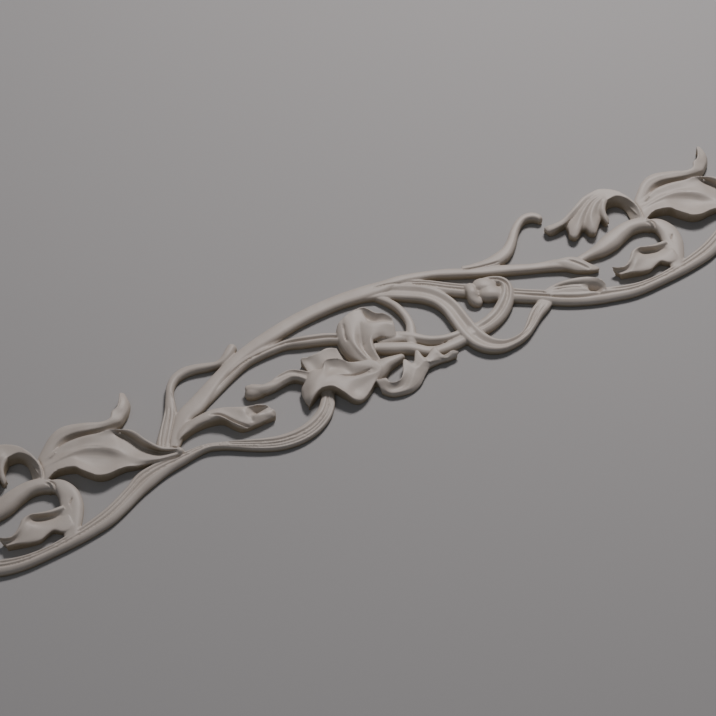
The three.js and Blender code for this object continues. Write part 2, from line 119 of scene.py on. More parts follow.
def cast(name, grid, rolls=(0, 0, 0, 0)):
    """A form of the casting: its grid, rolled at its four rims by these radii, with the feet of its
    sides drawn in, and carried down through the back."""
    grid[..., 2] = np.maximum(grid[..., 2], THIN)
    for side, radius in enumerate(rolls):
        grid = np.swapaxes(grid, 0, 1) if side % 2 else grid
        grid = grid[::-1] if side > 1 else grid
        if radius:
            grid = rolled(grid, radius)
        grid = drawn_in(grid)
        grid = grid[::-1] if side > 1 else grid
        grid = np.swapaxes(grid, 0, 1) if side % 2 else grid
    rows, columns = grid.shape[:2]
    bpy.ops.mesh.primitive_grid_add(x_subdivisions=columns - 1, y_subdivisions=rows - 1)
    form = bpy.context.object
    form.name = name
    form.data.vertices.foreach_set("co", (grid * MM).ravel())
    bpy.ops.object.mode_set(mode="EDIT")
    bpy.ops.mesh.select_all(action="SELECT")
    bpy.ops.mesh.extrude_region_move()
    bpy.ops.transform.resize(value=(1, 1, 0), center_override=(0, 0, -SUNK * MM))
    bpy.ops.mesh.select_all(action="SELECT")
    bpy.ops.mesh.normals_make_consistent(inside=False)
    bpy.ops.object.mode_set(mode="OBJECT")
    form.select_set(False)
    forms.append(form)


def stem(name, stations, body=2.3, edge=0.3, grooves=(), tips=(0, 0)):
    """A stem. body is how full its section is, 2 for half round, and edge the share of its depth left
    at its sides. A groove is its place across, half width, depth as a share, first and last station,
    and a tip is the length over which an end is rounded. The side of a stem that looks up the frieze
    is steep: fuller, deeper at its edge and a little wider than the other."""
    more_body, more_edge, more_width = 0.3, 0.1, 0.08
    stations = np.asarray(stations, float)
    steps = max(2, int(np.linalg.norm(np.diff(stations[:, :2], axis=0), axis=1).mean() / STEP))
    line = eased(stations, steps)
    number = np.arange(len(line)) / steps
    run = np.concatenate([[0], np.cumsum(np.linalg.norm(np.diff(line[:, :2], axis=0), axis=1))])
    for tip, gone in ((tips[0], run), (tips[1], run[-1] - run)):
        if tip:
            swell = np.sqrt(1 - (1 - np.clip(gone / tip, 0, 1)) ** 2)
            line[:, 2] *= np.maximum(swell, TIP_WIDTH)
            line[:, 3] *= TIP_DEPTH + (1 - TIP_DEPTH) * swell
    turn = np.arctan2(np.gradient(line[:, 1]), np.gradient(line[:, 0]))
    across = np.sin(np.linspace(-np.pi / 2, np.pi / 2, ACROSS))[:, None]
    steep = np.clip(0.5 + 1.2 * np.cos(turn) * across, 0, 1)
    full = body * (1 + more_body * steep)
    foot = edge + more_edge * steep
    share = foot + (1 - foot) * (1 - np.abs(across) ** full) ** (1 / full)
    for where, half, depth, first, last in grooves:
        first_place, last_place = where if isinstance(where, tuple) else (where, where)
        fade = np.clip(np.minimum(number - first, last - number) + 0.5, 0, 1)
        passed = np.clip((number - first) / (last - first), 0, 1)
        centre = first_place + (last_place - first_place) * passed
        share *= 1 - depth * fade * np.exp(-((across - centre) / half) ** 2)
    aside = across * line[:, 2] / 2 * (1 + more_width * steep)
    grid = np.stack([line[:, 0] - np.sin(turn) * aside, line[:, 1] + np.cos(turn) * aside,
                     line[:, 3] * share], axis=2)
    cast(name, grid)


stem("arc", [
  [172, -44, 14, 12], [191, -22, 20, 12], [211, -2, 24, 12], [234, 8, 26, 12],
  [257, 21, 23, 12], [283, 36, 19, 12], [310, 49, 18, 12], [342, 60, 19, 12],
  [382, 68, 22, 13], [437, 77, 22, 13], [497, 79, 22, 13], [545, 74, 24, 13],
  [575, 70, 22, 13], [602, 70, 15, 13], [631, 63, 14, 12], [652, 56, 13, 12],
  [673, 47, 15, 12], [692, 37, 14, 12], [715, 25, 13, 12], [745, 13.5, 16, 12],
  [784, -4.5, 14, 12], [804, -12, 15, 12], [822, -19, 18, 13],
  [840, -30, 15, 12],
], body=3, edge=0.3)

stem("under_arc", [
  [246, 8, 14, 9], [280, 24, 15, 10], [305, 35, 15, 11], [330, 43, 13, 12],
  [350, 45.5, 12, 12], [375, 46, 12, 12], [398, 45, 14, 12], [417, 39, 17, 13],
  [437, 32, 18, 13], [457, 24, 18, 13], [476, 12, 17, 12], [492, -7, 15, 12], [506, -25, 13, 12],
], grooves=[(0.05, 0.18, 0.4, 1, 12)])

stem("arc_web", [[322, 50, 12, 9], [345, 53, 14, 10], [368, 56, 14, 10], [400, 62, 6, 6]])

stem("main_stem", [
  [548, 76, 8, 9], [577, 68, 14, 11], [604, 58, 18, 12], [631, 43, 20, 12], [655, 23, 22, 12],
  [680, 4, 22, 12], [700, -10, 24, 13], [720, -26, 24, 13], [745, -43.5, 23, 12], [770, -60, 23, 12],
  [792, -76, 24, 12], [817, -90, 24, 12], [845, -101, 25, 12], [864, -107, 24, 12],
  [886, -114, 22, 12], [910, -118, 19, 12], [940, -118.5, 17, 12], [970, -116.5, 19, 12],
  [996, -113.5, 21, 12], [1029, -107, 24, 12], [1055, -97.5, 24, 12], [1084, -84, 25, 12],
  [1103, -75, 29, 12], [1122, -70, 27, 12], [1142, -67.5, 22, 12], [1165, -66.5, 17, 12],
  [1191, -65, 12.5, 12], [1208, -66.5, 10, 12], [1225, -73, 10, 12], [1243, -82, 13, 12],
  [1261, -92, 17, 12], [1280, -101.5, 20, 12], [1299, -108.5, 22, 12], [1320, -111.5, 23, 12],
  [1339, -110.5, 23, 12], [1358, -105, 23, 12], [1376, -95, 22, 12], [1389, -82, 21, 11],
  [1398, -68, 19, 10], [1406, -54, 16, 10],
], grooves=[
    (0.0, 0.14, 0.34, 2, 26), (0.48, 0.13, 0.36, 2, 9.5), (0.48, 0.13, 0.36, 13, 26),
    ((0.0, -0.4), 0.14, 0.34, 26, 38),
    ((0.48, 0.0), 0.13, 0.32, 26, 38), ((-0.5, -0.75), 0.1, 0.25, 28, 40)])

stem("ribbon", [
  [526, 72, 10, 10], [550, 68, 18, 11], [573, 61, 25, 12], [598, 46, 28, 13], [621, 28, 28, 14],
  [635, 8, 27, 14], [641, -15, 27, 14], [641, -40, 28, 14], [641, -66, 29, 14], [645, -88, 29, 14],
  [654, -103, 25, 14],
  [668, -112, 20, 13], [683, -114.5, 15, 12], [698, -113.5, 13, 12], [712, -109, 12.5, 12],
  [726, -99.5, 15, 12], [745, -85, 19, 12], [765, -74.5, 20, 10.5], [783, -65, 14, 6],
], body=3.4, edge=0.3, grooves=[(0.1, 0.42, 0.32, 1, 16)])

stem("ring_stem", [
  [556, 62, 10, 9], [566, 46, 11, 11], [573, 30, 12, 12], [576, 10, 12, 12], [574, -10, 13, 12],
  [567, -26, 15, 12], [560, -38, 15, 11], [556, -50, 12, 7],
])

stem("upper_strand", [
  [543, -18, 14, 11], [560, -29, 14, 12], [577, -45, 12, 12], [590, -53.5, 11, 12],
  [606, -59.5, 11, 12], [630, -62, 11, 11],
])

stem("lower_strand", [
  [506, -25, 16, 13], [528, -38, 18, 14], [548, -49, 18, 14], [560, -59, 17, 13],
  [571, -68, 16, 12], [590, -75, 16, 12], [630, -74, 16, 11],
])

stem("strand_web", [
  [515, -16, 8, 8], [535, -21, 16, 11], [552, -27, 17, 11], [566, -37, 13, 10], [580, -51, 10, 8],
  [600, -63, 8, 7],
])

stem("loop_band", [
  [628, -68, 24, 11], [656, -68.5, 23, 12], [676, -66, 24, 13], [697, -58, 24, 13],
  [715, -46, 23, 15], [728, -32, 20, 16], [734, -18, 17, 16], [731, -7, 15, 16], [722, 1, 13, 15],
  [709, 6, 11, 14], [696, 6, 9, 12],
], grooves=[(0.0, 0.22, 0.3, 1, 9)])

stem("stem_knot", [
  [688, 5, 14, 14], [700, 0, 26, 17], [711, -7, 25, 16.5], [722, -13, 18, 13],
], tips=(6, 4))

stem("knot_fold", [
  [690, -9, 18, 13], [702, -16, 27, 16.3], [713, -23, 23, 15.5], [723, -29, 15, 12],
], tips=(6, 4))

stem("clasp", [
  [683, 13, 13, 14], [684, 4, 17, 17], [682, -7, 17, 18], [680, -15, 18, 15], [683, -21, 18, 12],
  [691, -23, 8, 9],
], tips=(4, 4))


# Leaves and buds. Tendrils, a hooked leaf, pods and a bud branch off the stems and lie on them.
# They are part of the same casting, with thin rims and hollow mouths.
ROLL = 2.2          # radius of a rolled rim


def carve(name, rails, rolls=(ROLL, ROLL, ROLL, ROLL)):
    """A carved petal or leaf, laid over its rails. Its rolls are those of the first rail, the rails'
    beginnings, the last rail and the rails' ends."""
    rails = np.asarray(rails, float)
    spread = np.linalg.norm(np.diff(rails[..., :2], axis=0), axis=2).mean()
    length = np.linalg.norm(np.diff(rails[..., :2], axis=1), axis=2).mean()
    grid = eased(rails, max(2, round(spread / STEP)))
    grid = np.swapaxes(eased(np.swapaxes(grid, 0, 1), max(2, round(length / STEP))), 0, 1)
    cast(name, grid, rolls)


stem("upper_tendril", [
  [160, -52, 34, 11], [166, -32, 26, 11], [179, -12, 22, 12], [191, 5, 20, 12], [199, 19, 17, 12],
  [205, 33, 14, 12], [211, 46, 11.5, 12], [219, 58, 12, 12], [231, 67.5, 13, 12],
  [247, 71.5, 14.5, 12], [263, 69.5, 13.5, 12], [279, 64.5, 12, 12], [294, 60.5, 10, 12],
  [306, 62.5, 12, 13], [317, 69, 14, 14], [327, 76.5, 14, 14], [333, 81, 12, 13],
], tips=(0, 7))

stem("hook_leaf", [
  [694, 43, 10, 12], [712, 36, 16, 12], [732, 32, 19, 13], [752, 33.5, 20, 14], [770, 39, 18, 14],
  [787, 52, 15, 14], [802, 67.5, 13, 14], [815, 78, 12, 14], [828, 83.8, 11.5, 14.5],
  [841, 82.3, 12.5, 14.5], [849, 75, 11, 13.5], [850, 68, 8, 12],
], body=2.8, tips=(0, 4))

carve("pod_lobe", [
  [[806, -7, 11], [824, -11, 12], [843, -16, 13], [855, -24, 13], [864, -40, 12], [875, -55, 8]],
  [[808, -12, 12], [826, -19, 14], [842, -28, 15], [853, -38, 15], [862, -50, 13], [874, -56, 8]],
  [[807, -17, 10], [828, -32, 11], [840, -45, 12], [850, -52, 13], [861, -57, 12], [873, -57, 8]],
])

carve("spoon_leaf", [
  [[774, -54, 11], [793, -52.5, 13], [812, -54.5, 15], [832, -61.5, 17], [848, -70, 18],
    [858, -80, 18], [861, -90, 16], [857, -99, 13]],
  [[777, -57.5, 11], [794, -56.5, 13], [812, -59.5, 15.5], [831, -67, 16.5], [845, -76, 16],
    [852.5, -83, 14], [855.5, -91, 12], [854, -99, 11]],
  [[778, -59, 11], [795, -59, 12.5], [812, -64, 12.5], [829, -73, 12], [839, -81, 8],
    [845, -88, 4], [849, -94, 4], [851, -100, 7]],
  [[779, -62, 11], [795, -63, 13], [811, -70, 13.5], [826, -78, 13.5], [834, -86, 12.5],
    [839, -92, 9], [844, -98, 8], [848, -103, 9]],
  [[780, -68, 11], [796, -73, 11], [811, -81, 11], [826, -88, 10.5], [835, -94, 9.5],
    [840, -99, 8], [844, -104, 8], [847, -108, 8]],
], rolls=(1.2, 0, 0, ROLL))

carve("bud", [
  [[178, -42, 11], [186, -26, 12], [202, -17, 13], [219, -13, 13], [236, -11.5, 13], [251, -13, 14],
    [264, -18, 15], [276, -25, 16], [288, -31, 16], [299, -36, 17], [309, -39, 17], [319, -46, 16]],
  [[179, -41, 12], [188, -31, 14], [204, -23, 15], [220, -20, 16], [236, -18, 16], [250, -20, 16],
    [262, -25, 15], [274, -32, 16.5], [286, -38, 17.5], [297, -42, 11], [306, -43, 7.5],
    [321, -50, 15]],
  [[180, -41, 12], [190, -33, 14.5], [205, -26, 15], [221, -24, 16], [237, -23, 17], [250, -26, 17],
    [262, -32, 16], [273, -40, 16.5], [286, -46, 16.5], [297, -48, 9], [306, -49, 6.5],
    [322, -54, 15]],
  [[180, -41, 12], [190, -35, 14], [207, -29, 14], [222, -27.5, 15], [238, -29, 16], [251, -34, 17],
    [261, -43, 17], [270, -53, 16], [284, -54, 15.5], [298, -55, 17.5], [310, -55.5, 16],
    [324, -58, 15.5]],
  [[181, -40, 11], [191, -35, 12], [209, -30.5, 11], [228, -29.5, 11.5], [244, -32.5, 13],
    [254, -38, 14.5], [261, -49, 15.5], [270, -60, 15.5], [286, -62, 14.5], [300, -62.5, 15],
    [312, -62, 14], [324, -62, 13]],
  [[182, -40, 7], [191, -34, 5], [210, -30.5, 4], [232, -30.5, 4], [249, -34.5, 6], [257, -41, 8],
    [262, -54, 10], [272, -65, 11], [290, -67, 11.5], [303, -67, 11.5], [314, -66.5, 11], [322, -66, 10]],
], rolls=(ROLL, 0, 0, 3))

stem("bud_tip", [
  [296, -57, 14, 14], [306, -58, 16, 16], [316, -58, 18, 16], [323.5, -57, 16, 14],
], tips=(0, 7))


# Side flower. An iris seen from the side: a tube, a fluted leaf, a back sepal, a front petal and
# a fall with its lobe. The petals are hollowed between their rims, as a carver leaves them.
stem("tube", [
  [-140, -27, 12, 10], [-118, -26, 15, 12], [-97, -25.5, 23, 15], [-76, -21, 28, 17],
  [-54, -14.5, 25, 18], [-34, -11, 22, 18], [-16, -14, 21, 17], [-4, -22, 18, 15],
])

carve("fluted_leaf", [
  [[-12.5, -11, 15], [-6.3, 5.2, 19], [-5.5, 19, 21], [-9.5, 38.5, 22.5], [-20, 57, 23.5],
    [-37.5, 69, 24], [-51.8, 70.3, 24], [-69.4, 68.2, 23.5], [-86.5, 61.4, 22],
    [-102.6, 54.1, 20.5], [-123.9, 48.4, 17.5], [-148, 53.2, 12.5]],
  [[-12.6, -10.9, 15], [-6.4, 5.2, 19], [-5.7, 19.1, 21], [-9.8, 38.3, 22.5], [-20.2, 56.2, 23.4],
    [-37.5, 67.4, 23.9], [-51.3, 66.8, 24], [-68.4, 63.7, 23.5], [-85.8, 56.5, 22.5],
    [-102.1, 49.6, 20.5], [-123.9, 43.9, 17.5], [-149, 46, 13.5]],
  [[-12.7, -10.8, 15], [-6.6, 5.2, 19], [-5.8, 19.1, 21], [-10, 38.2, 22.4], [-20.5, 55.5, 23.4],
    [-37.6, 65.9, 23.7], [-50.5, 64.2, 23.6], [-66.8, 61, 22.5], [-84.4, 54.2, 21],
    [-100.4, 47.6, 18.5], [-121, 39.8, 16.5], [-147, 40.5, 13]],
  [[-12.8, -10.7, 15], [-6.7, 5.3, 19], [-6, 19.2, 21], [-10.3, 38, 22.4], [-20.7, 54.7, 23.3],
    [-37.6, 64.3, 23.6], [-50.2, 62.7, 23.5], [-66.1, 60.1, 22.1], [-83.5, 53.3, 20.2],
    [-98.9, 46.6, 17.6], [-116, 41, 14], [-137, 38.5, 10]],
  [[-12.9, -10.6, 15], [-6.9, 5.3, 19], [-6.2, 19.3, 21], [-10.6, 37.8, 22.4], [-20.9, 53.9, 23.2],
    [-37.6, 62.7, 23.5], [-49.9, 61.4, 23.3], [-65.3, 59.3, 21.5], [-82.3, 52.7, 19], [-97, 46, 16],
    [-111, 42.7, 12.5], [-117.5, 40.5, 8]],
  [[-13, -10.5, 15], [-7, 5.3, 19], [-6.3, 19.3, 21], [-10.8, 37.7, 22.3], [-21.2, 53.2, 23.2],
    [-37.7, 61.2, 23.3], [-49.9, 59.6, 23.7], [-65.5, 56.6, 22.7], [-82.8, 48.6, 21.2],
    [-97.1, 39.9, 18.8], [-116.7, 29.4, 15.5], [-123.8, 19.2, 13]],
  [[-13.1, -10.4, 15], [-7.2, 5.3, 19], [-6.5, 19.4, 21], [-11.1, 37.5, 22.3], [-21.4, 52.4, 23.1],
    [-37.7, 59.6, 23.2], [-49.8, 57.9, 24], [-65.4, 54.3, 23.5], [-82.8, 45.1, 22.5],
    [-96.6, 34.6, 20.5], [-110.9, 20.9, 17.5], [-119.1, 10.4, 13.5]],
  [[-13.2, -10.3, 15], [-7.3, 5.3, 19], [-6.7, 19.5, 21], [-11.4, 37.3, 22.3], [-21.6, 51.6, 23],
    [-37.7, 58, 23.1], [-49.1, 56.6, 23.7], [-63.7, 53.1, 22.7], [-80, 43.3, 21.2],
    [-92.2, 33.2, 19], [-103.3, 20.6, 16.5], [-110.3, 13.7, 13]],
  [[-13.3, -10.2, 15], [-7.5, 5.4, 19], [-6.8, 19.5, 21], [-11.6, 37.2, 22.2], [-21.9, 50.9, 23],
    [-37.8, 56.5, 22.9], [-48.4, 55.4, 23.3], [-61.8, 52.3, 21.5], [-76.8, 42.2, 19],
    [-87.3, 32.6, 16.5], [-93.6, 25.9, 13.5], [-97, 21.2, 9]],
  [[-13.4, -10.1, 15], [-7.6, 5.4, 19], [-7, 19.6, 21], [-11.9, 37, 22.2], [-22.1, 50.1, 22.9],
    [-37.8, 54.9, 22.8], [-48.1, 53.3, 23.7], [-61.2, 49.6, 22.7], [-75, 39.3, 21.2],
    [-84.9, 28.5, 19.3], [-93, 15, 16], [-95.3, 9.7, 13]],
  [[-13.5, -10, 15], [-7.8, 5.4, 19], [-7.2, 19.7, 21], [-12.2, 36.8, 22.2], [-22.3, 49.3, 22.8],
    [-37.8, 53.3, 22.7], [-47.8, 51.4, 24], [-60.5, 47.3, 23.5], [-72.8, 37.1, 22.5],
    [-81.9, 25.2, 21], [-87.2, 11.5, 18], [-90.1, 3.4, 13.5]],
  [[-13.6, -9.9, 15], [-7.9, 5.4, 19], [-7.3, 19.7, 21], [-12.4, 36.7, 22.1], [-22.6, 48.6, 22.8],
    [-37.9, 51.8, 22.5], [-47.1, 49.9, 23.6], [-57.4, 45.8, 22.6], [-66.9, 37.7, 21],
    [-73.1, 28.9, 19.1], [-79.6, 14.3, 17], [-83.3, 5.7, 13]],
  [[-13.7, -9.8, 15], [-8.1, 5.4, 19], [-7.5, 19.8, 21], [-12.7, 36.5, 22.1], [-22.8, 47.8, 22.7],
    [-37.9, 50.2, 22.4], [-46.2, 48.7, 23], [-54, 44.7, 21], [-60.5, 39.1, 18.5], [-63.5, 33.5, 16],
    [-64, 27.9, 13.5], [-63.5, 24.5, 10]],
  [[-13.8, -9.7, 15], [-8.2, 5.5, 19], [-7.7, 19.9, 21], [-13, 36.3, 22.1], [-23, 47, 22.6],
    [-37.9, 48.6, 22.3], [-45.3, 47, 23.2], [-52.5, 42.2, 21.9], [-58.4, 35.7, 20.1],
    [-61.1, 29.3, 17.9], [-62.4, 20.7, 15], [-62.6, 15.5, 12]],
  [[-13.9, -9.6, 15], [-8.4, 5.5, 19], [-7.8, 19.9, 21], [-13.2, 36.2, 22], [-23.3, 46.3, 22.6],
    [-38, 47.1, 22.1], [-44.4, 45.4, 23.3], [-50.9, 40.1, 22.5], [-56, 32.7, 21], [-58.3, 25.7, 19],
    [-59.8, 17.6, 16.5], [-59.9, 11.6, 12.5]],
  [[-14, -9.5, 15], [-8.5, 5.5, 19], [-8, 20, 21], [-13.5, 36, 22], [-23.5, 45.5, 22.5],
    [-38, 45.5, 22], [-41.3, 43.3, 21.5], [-47.7, 37.6, 20.5], [-52.1, 31.4, 19.5],
    [-54.2, 25.5, 18], [-54.7, 19.4, 15.5], [-54.6, 16, 12]],
  [[-17, -7, 12], [-12, 6, 15], [-10.5, 21, 16], [-15, 35, 16], [-24, 44.2, 16], [-38, 45, 16],
    [-40.9, 42.9, 15], [-47.4, 37.2, 14.3], [-51.8, 31, 13.6], [-53.9, 25.1, 12.6],
    [-54.4, 19, 10.8], [-54.2, 15.7, 8.4]],
  [[-20.5, -4, 8], [-16.5, 6.5, 9], [-14, 22, 9], [-17, 34, 9], [-24.5, 43.2, 9], [-38, 44.6, 9],
    [-40.6, 42.6, 8.6], [-47, 36.9, 8.2], [-51.4, 30.7, 7.8], [-53.5, 24.8, 7.2], [-54, 18.7, 6.2],
    [-53.9, 15.3, 4.8]],
  [[-25, 0, 4], [-21.5, 7, 4], [-18.5, 23, 3.5], [-19, 33, 3], [-25, 42.2, 3], [-38, 44.2, 3],
    [-40.2, 42.2, 3], [-46.7, 36.6, 3], [-51.1, 30.3, 3], [-53.2, 24.4, 3], [-53.7, 18.3, 3],
    [-53.6, 14.9, 3]],
], rolls=(ROLL, 0, 0, 3))

carve("back_sepal", [
  [[-7.3, 24.3, 13], [7.8, 37.2, 17], [29, 52.9, 20], [50.7, 58.2, 21], [78.7, 50.2, 21],
    [99.9, 41, 20], [113.9, 40.5, 20], [121.9, 50, 20], [130.9, 53.4, 20], [139.8, 63.9, 20],
    [146.7, 76.2, 17]],
  [[-5.5, 20.5, 14], [10.6, 31.9, 17.5], [30.8, 46.2, 21], [51.3, 50, 22.5], [78.4, 43.9, 22],
    [100.9, 36, 20], [117.2, 35.7, 19], [126.1, 45.7, 19], [135.3, 51.1, 18.5], [143.4, 62.5, 18],
    [149, 77, 16]],
  [[-4.5, 18.5, 14], [12.8, 27.2, 17], [33, 42, 20], [53.6, 44.8, 21.5], [79.7, 39.2, 21],
    [101.2, 33.2, 19], [120.7, 33.2, 17.5], [130.9, 42.6, 17], [140, 49, 17], [148, 60, 16.5],
    [151.3, 76.3, 15]],
  [[-3.3, 16.2, 13.5], [15, 24.5, 16], [34.2, 38, 19], [54.7, 40.6, 20], [80.2, 34.6, 19.8],
    [102.6, 30.9, 17.5], [124.3, 30.8, 15], [135.4, 38.1, 14.5], [144.6, 46.5, 14],
    [151.7, 58.9, 13.5], [153.9, 74.3, 13]],
  [[-3, 12, 12.5], [16, 21, 13.5], [36, 34, 13], [56, 38, 12.5], [81.5, 33, 13], [103, 29, 13.5],
    [124, 28.5, 9], [135, 35.5, 9], [145, 44, 9], [153, 56, 9], [154, 70, 9]],
  [[-2, 10, 10], [17, 17, 11], [37, 30, 10], [57, 34, 10], [82, 29, 10], [103, 25, 11], [124.5, 27.5, 7],
    [135.5, 34.5, 5], [145.5, 43, 5], [153.5, 55.5, 5], [154.5, 69, 6]],
], rolls=(ROLL, 0, 0, ROLL))

carve("front_petal", [
  [[-13.1, 29, 12], [12, 26, 16], [32.8, 31.2, 17], [46.6, 32.9, 17.5], [60.6, 32.4, 17.5],
    [74.5, 29.5, 18], [89.3, 25.1, 18.5], [104.9, 22, 20], [117.3, 14, 22], [132, 1.8, 23],
    [142, -23.1, 23], [155.5, -42.6, 21], [178, -54, 16]],
  [[-13.2, 24.6, 12.5], [12.8, 22.2, 17], [33.5, 27.5, 18], [46.9, 28.6, 18.5], [60.9, 28.1, 18.5],
    [74.8, 25.6, 18.5], [90, 22, 18], [104.7, 20.2, 19], [115.7, 12.6, 20.5], [127.6, 0.3, 21],
    [137.9, -24, 21.5], [151.8, -45.9, 20], [176.2, -55.6, 15.5]],
  [[-13.3, 20.2, 13], [13.9, 18.6, 16.5], [34.8, 23.2, 17], [47.6, 23.9, 17.5], [61.6, 22.9, 17.5],
    [75.6, 19.9, 17.5], [90.7, 16.3, 17], [106, 14, 16], [117.1, 11, 12], [126.7, -1.6, 10],
    [135.7, -23.6, 10], [153.8, -43.7, 10], [172.9, -55.8, 13]],
  [[-13.5, 14.5, 14], [14, 15, 16], [35.4, 17.6, 16.5], [48.4, 18.1, 16.5], [62.4, 16.1, 16.5],
    [76.9, 12.1, 16.5], [91.9, 6.6, 16.5], [105.1, 3.4, 15.5], [112.8, -3.8, 13],
    [122.5, -14, 10.5], [131.7, -29.6, 10], [149.5, -46.4, 11], [171.9, -56.8, 13]],
  [[-13.8, 8.7, 15], [14.1, 9.9, 17.5], [35.4, 11.6, 18.5], [48.4, 11.1, 18.5], [62.4, 8.6, 18.5],
    [77.3, 2.6, 18.5], [91.5, -7.5, 18], [100.9, -15.4, 16.5], [108.4, -21.9, 14.5],
    [117.8, -29.8, 13], [128.9, -38.8, 13], [145.7, -51.2, 13.5], [170.8, -58.2, 13.5]],
  [[-13.3, 2.7, 15], [15.1, 6.9, 16.5], [37.5, 7, 16.5], [49.3, 4.7, 15], [62.4, -0.9, 13],
    [75.4, -7.9, 12], [87.2, -16.7, 11.5], [97.8, -25.8, 13], [107.4, -32.9, 14.5],
    [117.1, -39.6, 15.5], [128.3, -47.3, 15], [144.4, -55.9, 14.5], [170.8, -59.2, 13.5]],
  [[-12.5, -2.5, 14.5], [14.5, 1.5, 17.5], [38, 0, 17], [46.3, -6.3, 14.5], [59.5, -19.6, 12],
    [72.4, -27, 11.5], [85.1, -31.1, 12], [97.5, -36.5, 14], [108.3, -42.3, 15], [118.3, -46.3, 15],
    [130.6, -51.6, 14], [146.9, -56.8, 13], [170.9, -59.8, 13]],
  [[-11.8, -8.3, 15], [12.7, -4.6, 19.5], [34.8, -10.7, 21], [43, -19.9, 20], [56.2, -37.2, 19],
    [70.3, -43.3, 18.5], [84.5, -42.5, 18], [97.9, -43.4, 16.5], [109.4, -46.9, 14.5],
    [119.8, -49.8, 13], [133.1, -53.1, 12], [149.2, -58.1, 12], [171.1, -60.5, 12.5]],
  [[-10, -14, 16], [11, -7, 20], [33.1, -13.6, 21.5], [40.6, -24, 21.5], [54.7, -41.6, 21],
    [69.8, -47.8, 20.5], [85.1, -47, 19.5], [98.7, -47.2, 17], [110.6, -50.6, 14],
    [122.1, -52.1, 12], [135.4, -54.4, 11], [150.5, -58.4, 11], [171.2, -61.1, 12]],
], rolls=(1.2, 0, 1.2, 0))

stem("petal_knob", [[168, -57, 9, 13], [176, -56, 13, 17], [183, -54, 7, 12]], tips=(5, 5))

stem("fall", [
  [-10, -18, 14, 16], [4, -29, 22, 17], [9, -47, 29, 16.5], [6, -65, 31, 15], [-2, -82, 29, 13.5],
  [-10, -98, 24, 12], [-18, -116, 20, 10],
], body=2.4, edge=0.4)

carve("fall_lobe", [
  [[-105.4, -66.3, 15], [-100.3, -71.9, 16.5], [-88.9, -76.1, 17.5], [-76.1, -69.5, 19.5],
    [-66, -60.1, 21], [-53, -57.6, 21], [-40.4, -60.4, 20], [-26.5, -62.8, 18.5], [-7, -62, 16]],
  [[-105.1, -68.4, 14.5], [-100, -74, 16], [-88.9, -78.6, 17.5], [-75.3, -72.9, 20],
    [-64.3, -63.5, 21.5], [-53, -60.1, 21], [-41.1, -63.5, 19.5], [-26.2, -67.4, 18],
    [-7, -67, 16]],
  [[-104, -72, 9], [-96.5, -77.2, 10], [-86, -80.5, 12.5], [-74.2, -76.4, 18], [-61.8, -67.2, 19],
    [-47.7, -64.1, 10.5], [-36.8, -66.5, 9], [-22.8, -70.5, 9], [-6.2, -71.8, 11.5]],
  [[-101.3, -79.4, 9.5], [-93.7, -82.7, 12], [-85.4, -85.3, 15], [-73.2, -81.4, 18],
    [-59.2, -74.4, 18], [-45.5, -74.2, 13.5], [-34.9, -77, 12.5], [-21.9, -79, 12.5],
    [-6.5, -78.2, 13.5]],
  [[-101, -84, 12.5], [-93.1, -86.9, 14.5], [-83.7, -89.1, 15.5], [-72, -87, 16], [-58, -84, 16],
    [-44.4, -84.3, 15], [-33.8, -85.6, 14], [-21.8, -87.6, 14], [-6.8, -86.6, 14]],
  [[-100.7, -85.2, 12], [-91.6, -88.2, 13.5], [-81.1, -92.4, 14.5], [-68.8, -96.6, 14],
    [-55.8, -98.6, 14], [-43.8, -94.6, 14], [-33.8, -93.1, 14], [-24.2, -100.9, 13],
    [-8.6, -102.2, 12]],
], rolls=(1.2, ROLL, ROLL, 0))


# Middle flower. An iris seen from the front: a standard over a wide skirt, with sepals at its side
# and a lobed lower petal curling up beside it.
carve("standard_left", [
  [[474, 31, 13], [467, 21, 8], [463, 7, 5], [462, -8, 4], [464, -25, 5], [472, -42, 8],
    [476, -50, 6]],
  [[478, 34, 18], [471, 22, 14], [467, 6, 12], [466, -10, 11], [468, -27, 12], [475, -44, 12],
    [479, -52, 8]],
  [[484, 37, 20], [477, 22, 17], [473, 5, 16], [472, -12, 16], [473, -29, 15], [478, -46, 13],
    [482, -54, 9]],
  [[487, 38, 20], [482, 22, 18], [477, 5, 17.5], [476, -12, 17.5], [477, -30, 16], [481, -47, 13],
    [485, -55, 9]],
  [[492, 40, 21], [487, 22, 20.5], [481, 4, 20], [479, -14, 19.5], [480, -31, 18], [484, -48, 14],
    [487, -56, 9]],
  [[500, 43, 21], [498, 24, 21], [491, 7, 20], [484, -10, 19], [483, -29, 18], [487, -50, 14],
    [489, -57, 9]],
  [[507, 44, 21], [506, 24, 20.5], [498, 4, 17], [489, -12, 13], [486, -30, 12], [490, -51, 11],
    [492, -58, 8]],
  [[512, 45, 20.5], [511, 23, 20], [505, 2, 17], [496, -12, 13], [491, -30, 12], [493, -52, 11],
    [495, -58, 8]],
  [[517, 45, 20], [516, 22, 20], [514, -3, 20], [504, -15, 18.5], [499, -32, 17.5], [499, -52, 13],
    [499, -58, 8]],
  [[521, 44, 19], [519, 20, 19], [517, -4, 19], [508, -17, 16.5], [503, -34, 14], [502, -54, 10],
    [501, -59, 6]],
], rolls=(ROLL, ROLL, 1, 0))

